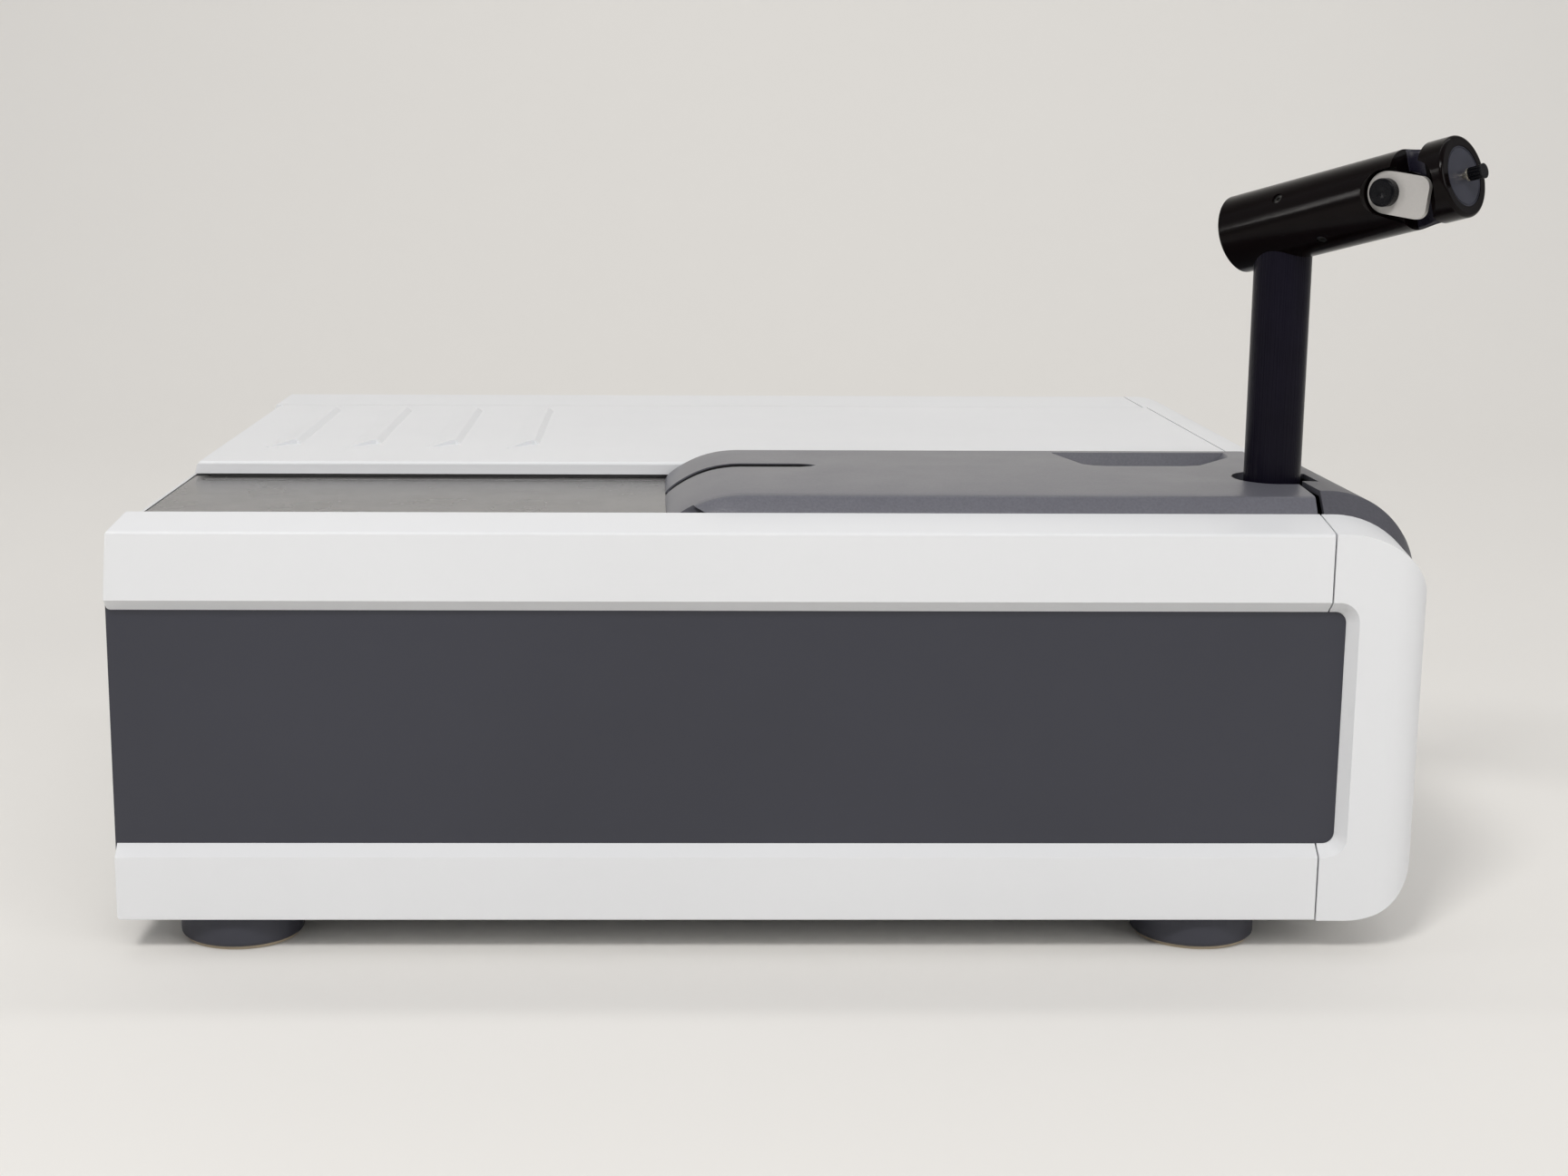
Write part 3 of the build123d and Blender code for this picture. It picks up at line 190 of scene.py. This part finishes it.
def metal(name, color, rough, grain, depth=0.00002, metallic=1.0, spread=0.05, streak=(1, 1, 1)):
    """Bare metal with a fine finish; streak stretches it into brush marks."""
    m = Mat(name, color, rough, metallic)
    lines = m.noise(grain, 3.0, 0.6, m.mapping(streak))
    m.to(m.mix(lines, tint(color, 1 - spread), tint(color, 1 + spread)), "Base Color")
    m.to(m.range(lines, 0.3, 0.7, rough - 0.05, rough + 0.07), "Roughness")
    m.bump(lines, 0.3, depth)
    return m.mat


def painted(name, color, rough):
    """Sprayed paint: a little orange peel and faint cloudiness."""
    m = Mat(name, color, rough)
    peel = m.noise(1400.0, 2.0, 0.5)
    cloud = m.range(m.noise(9.0, 3.0), 0.3, 0.7, 0, 1)
    m.to(m.mix(cloud, tint(color, 0.97), tint(color, 1.03)), "Base Color")
    m.bump(peel, 0.3, 0.00008)
    return m.mat


# the barrel's axis, from its closed end to the port: it points forwards, to the near side and up
YAW, RISE = math.radians(47.8), math.radians(14.3)
ALONG = Vector((math.cos(YAW) * math.cos(RISE), -math.sin(YAW) * math.cos(RISE), math.sin(RISE)))


def anodised(name, color, rough, along=None, metallic=0.0, spec=0.2):
    """Black anodised aluminium with turning marks across the given axis."""
    m = Mat(name, color, rough, metallic, Specular_IOR_Level=spec)
    if along is not None:
        turn = along.to_track_quat("X", "Z").to_matrix().inverted().to_euler()
        vector = m.mapping((6000.0, 20.0, 20.0), turn)
        rings = m.noise(1.0, 2.0, 0.6, vector)
    else:
        rings = m.noise(2500.0, 3.0, 0.5)
    m.to(m.range(rings, 0.3, 0.7, rough - 0.05, rough + 0.07), "Roughness")
    cloud = m.noise(60.0, 3.0)
    m.to(m.mix(cloud, tint(color, 0.7), tint(color, 1.5)), "Base Color")
    m.bump(rings, 0.25, 0.00001)
    return m.mat


FELT = felt()
BARREL = anodised("barrel_black_anodised", (0.0026, 0.0014, 0.0014), 0.15, ALONG, spec=0.10)
POST = anodised("post_black_anodised", (0.0048, 0.0040, 0.0088), 0.27, Vector((0, 0, 1)), spec=0.10)
ANOD = anodised("small_black_anodised", (0.0030, 0.0030, 0.0040), 0.26, spec=0.16)
DISC = anodised("disc_blue_grey", (0.045, 0.047, 0.062), 0.36, metallic=0.35)
SCREW = metal("set_screw_dark", (0.12, 0.12, 0.115), 0.28, 1500.0)
STEM = metal("stem_nickel", (0.78, 0.72, 0.58), 0.30, 2500.0)
PLATE = metal("plate_satin_grey", (0.50, 0.485, 0.465), 0.55, 1500.0, 0.00005, 0.25, 0.10)
STEEL = metal("steel_brushed", (0.62, 0.62, 0.62), 0.32, 1200.0, streak=(0.05, 1, 1))
ZINC = metal("screw_zinc", (0.60, 0.61, 0.62), 0.30, 2500.0)
BRASS = metal("brass_turned", (0.70, 0.52, 0.26), 0.28, 3000.0)
CAST = metal("bench_cast", (0.50, 0.51, 0.52), 0.50, 700.0, 0.0001)
MIRROR = metal("mirror_coating", (0.92, 0.92, 0.92), 0.05, 300.0, 0.000001)
REAR = painted("rear_paint_fine", (0.72, 0.73, 0.735), 0.5)
TRAY = painted("tray_paint", (0.50, 0.51, 0.52), 0.45)
CAN = painted("motor_black_paint", (0.03, 0.03, 0.03), 0.4)
BOARD = painted("circuit_board_green", (0.02, 0.12, 0.045), 0.35)
CHIPS = painted("circuit_parts_black", (0.02, 0.02, 0.022), 0.5)


def glass():
    """Clear glass with faintly uneven polish."""
    m = Mat("optic_glass", (0.95, 0.98, 0.99), 0.03, 0.0, Transmission_Weight=1.0, IOR=1.46)
    m.to(m.range(m.noise(40.0), 0.3, 0.7, 0.02, 0.05), "Roughness")
    return m.mat


GLASS = glass()
BY_SLOT = {
    "white_cover": WHITE, "grey_panel": PANEL, "grey_lid": LID, "grey_foot": FOOT, "foot_felt": FELT,
    "zinc_screw": ZINC, "tray_steel": TRAY, "rear_paint": REAR, "black_plastic": BLACK,
    "contact_brass": BRASS, "steel_bright": STEEL, "optic_glass": GLASS, "mirror_face": MIRROR,
    "cast_bench": CAST, "motor_can": CAN, "black_anodised": ANOD, "disc_anodised": DISC,
    "plate_satin": PLATE, "circuit_board": BOARD, "circuit_parts": CHIPS,
}
# nodes that look a little different from the rest of their slot
BY_NODE = {
    "barrel": BARREL, "port_ring": BARREL, "post": POST, "lid_channel": CHANNEL, "front_cap": CAP,
    "set_screws": SCREW, "port_stem": STEM,
}
for row in frame["record"]["subparts"]:
    material = BY_NODE.get(row["node"], BY_SLOT[row["material_slot"]])
    for place in NODES[row["node"]].material_slots:
        place.material = material

# ---- edge rounding of the CAD shapes ----------------------------------------------------------------
ROUND_MM = {
    "near_upper_rail": 0.8, "far_upper_rail": 0.8, "near_lower_rail": 0.8, "far_lower_rail": 0.8,
    "front_bezel": 0.7, "top_deck": 0.35, "near_side_panel": 0.3, "far_side_panel": 0.3, "sample_lid": 0.5,
    "front_cap": 0.5, "lid_channel": 0.3, "feet": 0.6, "foot_pads": 0.3, "post": 0.15, "barrel": 0.25,
    "port_ring": 0.25, "port_disc": 0.15, "port_knob": 0.3, "port_stem": 0.1, "swing_plate": 0.25,
    "swing_knob": 0.3, "rear_panel": 0.15, "mains_inlet": 0.3, "rocker_frame": 0.4, "power_rocker": 0.5,
    "fuse_drawer": 0.3, "base_tray": 0.3, "periscope_base": 0.5, "base_thumbscrews": 0.3,
    "rear_screws": 0.15, "set_screws": 0.1, "sample_compartment": 0.5,
}


def rounded(name, width_mm):
    """Weld the CAD mesh and round its sharp edges by width_mm."""
    obj = NODES[name]
    weld = obj.modifiers.new("weld", "WELD")
    weld.merge_threshold = 0.00002
    bev = obj.modifiers.new("bevel", "BEVEL")
    bev.width = width_mm / 1000
    bev.segments = 3
    bev.limit_method = "ANGLE"
    bev.angle_limit = math.radians(28)
    bev.use_clamp_overlap = True
    bev.miter_outer = "MITER_ARC"
    wn = obj.modifiers.new("normals", "WEIGHTED_NORMAL")
    wn.weight = 60
    for p in obj.data.polygons:
        p.use_smooth = True


for node_name, mm in ROUND_MM.items():
    rounded(node_name, mm)

# ---- pieces -------------------------------------------------------------------------------------------


def body_holding(node):
    return next(b for b, members in frame["record"]["behaviour"]["bodies"].items() if node in members)


def mesh_object(name, bm, material):
    """Turn bm into a smooth object in the scene."""
    mesh = bpy.data.meshes.new(name)
    bm.to_mesh(mesh)
    bm.free()
    for p in mesh.polygons:
        p.use_smooth = True
    mesh.materials.append(material)
    obj = bpy.data.objects.new(name, mesh)
    bpy.context.scene.collection.objects.link(obj)
    return obj


def skin(bm, rows):
    """Faces between neighbouring rows of vertices."""
    for a, b in zip(rows, rows[1:]):
        for k in range(len(a) - 1):
            bm.faces.new((a[k], b[k], b[k + 1], a[k + 1]))


def thicken(obj, thickness, offset):
    solid = obj.modifiers.new("thickness", "SOLIDIFY")
    solid.thickness = thickness
    solid.offset = offset


GROOVE_Y, GROOVE_W = -0.1281, 0.0112    # the middle of the groove in the lid, and its width
POINT_AT, POINT_LENGTH = 63.5, 7.6      # where the groove starts to narrow to its point, in mm from the nose
# the lid's outline along the groove, from the nose: mm forwards, mm down from the top
LID_CURVE = [
    (1.9, 12.4), (3.6, 10.9), (5.7, 9.3), (7.9, 7.9), (10.4, 6.4), (13.0, 5.05), (15.5, 3.9), (18.5, 2.75),
    (21.4, 1.85), (24.8, 1.05), (28.2, 0.5), (31.6, 0.15), (35.4, 0.0), (50.0, 0.0), (60.0, 0.0), (63.4, 0.0),
    (66.0, 0.0), (68.0, 0.0), (69.6, 0.0), (70.9, 0.0),
]


def lid_groove_painted_shade():
    """A black sheet of painted shade along the groove's floor: flat, then down over the nose, with a pointed
    front end.
    """
    lid_lo, lid_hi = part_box("sample_lid")
    nose, top = lid_lo.x, lid_hi.z
    bm = bmesh.new()
    rows = []
    for i, (step, drop) in enumerate(LID_CURVE):
        before, after = LID_CURVE[max(0, i - 1)], LID_CURVE[min(len(LID_CURVE) - 1, i + 1)]
        run, fall = after[0] - before[0], after[1] - before[1]
        size = math.hypot(run, fall)
        sink = 0.28 if step < 36 else 0.34
        half = GROOVE_W / 2 - 0.0001
        if step > POINT_AT:
            half *= max(0.04, 1.0 - ((step - POINT_AT) / POINT_LENGTH) ** 1.7)
        x = nose + (step + sink * -fall / size) / 1000
        z = top - (drop + sink * run / size) / 1000
        across = [k / 4.0 - 1.0 for k in range(9)]
        rows.append([bm.verts.new((x, GROOVE_Y + u * half, z - 0.00012 * abs(u) ** 8)) for u in across])
    skin(bm, rows)
    obj = mesh_object("lid_groove_painted_shade", bm, GROOVE_PAINTED_SHADE)
    thicken(obj, 0.0004, -1.0)
    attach(obj, body_holding("sample_lid"))


lid_groove_painted_shade()


def turned_piece(name, profile, origin, axis, material, body, segments=64):
    """(radius, height) stations revolved about Z, then set at origin with Z along axis."""
    angles = [2 * math.pi * k / segments for k in range(segments)]
    bm = bmesh.new()
    rings = []
    for r, h in profile:
        if r == 0:
            rings.append([bm.verts.new((0, 0, h))])
        else:
            rings.append([bm.verts.new((r * math.cos(a), r * math.sin(a), h)) for a in angles])
    for a, b in zip(rings, rings[1:]):
        for k in range(segments):
            n = (k + 1) % segments
            if len(a) == 1:
                bm.faces.new((a[0], b[k], b[n]))
            else:
                bm.faces.new((a[k], a[n], b[n], b[k]))
    bmesh.ops.recalc_face_normals(bm, faces=bm.faces)
    obj = mesh_object(name, bm, material)
    obj.matrix_world = Matrix.Translation(origin) @ axis.to_track_quat("Z", "Y").to_matrix().to_4x4()
    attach(obj, body)


def turned_face():
    """Face-turned black metal: the highlight fans out from the centre."""
    m = Mat("knob_face_turned", (0.0015, 0.0015, 0.0025), 0.34, 0.0, Specular_IOR_Level=0.11,
            Anisotropic=0.95, Anisotropic_Rotation=0.25)
    tangent = m.node("ShaderNodeTangent", direction_type="RADIAL", axis="Z")
    m.link(tangent.outputs["Tangent"], m.bsdf.inputs["Tangent"])
    rings = m.noise(900.0, 2.0, 0.5)
    m.to(m.mix(rings, (0.0010, 0.0010, 0.0018), (0.0030, 0.0030, 0.0045)), "Base Color")
    m.bump(rings, 0.08, 0.00001)
    return m.mat


# across the barrel: level, up, and out through the knob
SIDE = ALONG.cross(Vector((0, 0, 1))).normalized()
UPPER = SIDE.cross(ALONG)
OUTWARD = SIDE if SIDE.y < 0 else -SIDE


def axis_point(node, direction):
    """The middle, across direction, of a round node's outermost face."""
    points = [v.co for v in NODES[node].data.vertices]
    top = max(p.dot(direction) for p in points)
    face = [p for p in points if p.dot(direction) > top - 0.0008]
    lo = Vector([min(p[k] for p in face) for k in range(3)])
    hi = Vector([max(p[k] for p in face) for k in range(3)])
    mid = (lo + hi) / 2
    return mid + direction * (top - mid.dot(direction))


KNOB_DISH = [(0.0, -0.00068), (0.0007, -0.00062), (0.0022, -0.00042), (0.0040, -0.00016), (0.0050, 0.00002),
             (0.0052, 0.00010), (0.0055, 0.00010), (0.0056, 0.0)]
turned_piece("knob_turned_face", KNOB_DISH, axis_point("swing_knob", OUTWARD), OUTWARD, turned_face(),
             body_holding("swing_knob"))

# painted sheen: a brighter, bluish, glossier copy of the barrel's black anodising, standing in for the slot
# wall's lit band
SLOT_PAINTED_SHEEN = anodised("slot_painted_sheen_blue_black", (0.010, 0.009, 0.018), 0.30, spec=0.55)
# the slot lies SLOT_AT along the axis from a point BARREL_LENGTH behind the port disc's face
BARREL_LENGTH, SLOT_AT = 0.088, 0.0705
SLOT_R, BARREL_R, BORE_R = 0.00693, 0.01725, 0.0077


def slot_painted_sheen_liner():
    """A thin sheet over the round back wall of the sample slot, above and below the bore: its higher gloss
    catches the lamps, and its brighter bluish colour is a painted sheen for the wall's lit band.
    """
    start = axis_point("port_disc", ALONG) - ALONG * BARREL_LENGTH
    bm = bmesh.new()
    for sign in (1, -1):
        columns = []
        for k in range(21):
            a = math.pi * (0.02 + 0.96 * k / 20)
            x, y = SLOT_AT + SLOT_R * math.cos(a), SLOT_R * math.sin(a)
            low = math.sqrt(max(0.0, BORE_R ** 2 - y ** 2)) + 0.0001
            high = math.sqrt(BARREL_R ** 2 - y ** 2)
            foot = start + ALONG * x - OUTWARD * y
            heights = [sign * (low + (high - low) * j / 8) for j in range(9)]
            columns.append([bm.verts.new(foot + UPPER * h) for h in heights])
        skin(bm, columns)
    obj = mesh_object("slot_painted_sheen_liner", bm, SLOT_PAINTED_SHEEN)
    thicken(obj, 0.0001, 0.0)
    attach(obj, body_holding("barrel"))


slot_painted_sheen_liner()

# ---- camera, floor and light ------------------------------------------------------------------------
# the picture's width, the focal length and the optical axis across, in pixels
PICTURE_W, FOCAL, CENTRE = 1728.0, 2556.19, 769.97
CAMERA_AT = (-0.0524, -1.2044, 0.3501)
YAW_RIGHT, PITCH_DOWN, ROLL = math.radians(0.831), math.radians(10.936), math.radians(0.271)


def make_camera():
    level = math.cos(PITCH_DOWN)
    ahead = Vector((math.sin(YAW_RIGHT) * level, math.cos(YAW_RIGHT) * level, -math.sin(PITCH_DOWN)))
    right = Vector((math.cos(YAW_RIGHT), -math.sin(YAW_RIGHT), 0))
    up = right.cross(ahead)
    c, s = math.cos(ROLL), math.sin(ROLL)
    right, up = right * c + up * s, up * c - right * s
    cam = bpy.data.cameras.new("camera")
    cam.sensor_width = 36.0
    cam.lens = FOCAL * cam.sensor_width / PICTURE_W
    cam.shift_x = (PICTURE_W / 2 - CENTRE) / PICTURE_W
    cam.clip_end = 50.0
    obj = bpy.data.objects.new("camera", cam)
    bpy.context.scene.collection.objects.link(obj)
    turn = Matrix((right, up, -ahead)).transposed().to_4x4()
    obj.matrix_world = Matrix.Translation(CAMERA_AT) @ turn
    bpy.context.scene.camera = obj


make_camera()


def sweep_floor():
    """A pale floor that turns up into a wall a little behind the object."""
    half, bend_y, bend_r, top = 14.0, 1.5, 2.2, 8.0
    bend = [math.radians(6 * k) for k in range(1, 16)]
    line = [(-half, 0.0), (bend_y, 0.0)]
    line += [(bend_y + bend_r * math.sin(a), bend_r - bend_r * math.cos(a)) for a in bend]
    line += [(bend_y + bend_r, top)]
    bm = bmesh.new()
    rows = [[bm.verts.new((x, y, z)) for x in (-half, half)] for y, z in line]
    for a, b in zip(rows, rows[1:]):
        bm.faces.new((a[0], a[1], b[1], b[0]))
    m = Mat("studio_floor_paint", (0.80, 0.785, 0.755), 0.75, Specular_IOR_Level=0.2)
    m.to(m.mix(m.noise(1.3, 2.0), (0.795, 0.78, 0.75), (0.805, 0.79, 0.76)), "Base Color")
    mesh_object("studio_floor", bm, m.mat)


sweep_floor()


def area(name, at, look, size, power, color):
    """A rectangular lamp at one place, turned towards another."""
    light = bpy.data.lights.new(name, "AREA")
    light.shape = "RECTANGLE"
    light.size, light.size_y = size
    light.energy = power
    light.color = color
    obj = bpy.data.objects.new(name, light)
    bpy.context.scene.collection.objects.link(obj)
    obj.location = at
    obj.rotation_euler = (Vector(look) - Vector(at)).to_track_quat("-Z", "Y").to_euler()


# name, place, aim, size (m), power (W), colour
LIGHTS = [
    ("key_left_front", (-0.85, -1.95, 2.15), (0.05, -0.1, 0.08), (0.6, 0.6), 35.0, (1.0, 0.985, 0.965)),
    ("fill_right", (2.1, -2.1, 1.3), (0.1, 0, 0.1), (1.8, 1.2), 20.0, (1.0, 0.985, 0.965)),
    ("window_left", (-2.05, -0.42, 0.82), (0.22, -0.18, 0.32), (0.06, 0.55), 2.8, (1.0, 0.97, 0.94)),
    ("strip_front", (0.15, -1.60, 1.70), (0.12, -0.1, 0.2), (1.0, 0.10), 4.4, (1.0, 0.985, 0.965)),
    ("wall_wash", (0.3, 1.0, 3.4), (0.3, 3.4, 1.2), (5.0, 0.8), 60.0, (1.0, 0.985, 0.96)),
]
for lamp in LIGHTS:
    area(*lamp)


def studio_world():
    """Soft light all round, weaker from the camera's side."""
    world = bpy.data.worlds.new("studio")
    bpy.context.scene.world = world
    world.use_nodes = True
    tree = world.node_tree
    spread = tree.nodes.new("ShaderNodeMapRange")
    split = tree.nodes.new("ShaderNodeSeparateXYZ")
    for key, value in (("From Min", -0.6), ("From Max", 0.7), ("To Min", 0.24), ("To Max", 0.74)):
        spread.inputs[key].default_value = value
    tree.links.new(tree.nodes.new("ShaderNodeTexCoord").outputs["Generated"], split.inputs[0])
    tree.links.new(split.outputs["Y"], spread.inputs["Value"])
    tree.links.new(spread.outputs["Result"], tree.nodes["Background"].inputs["Strength"])
    tree.nodes["Background"].inputs["Color"].default_value = (0.97, 0.97, 1.0, 1)


studio_world()
bpy.context.scene.view_settings.view_transform = "Standard"
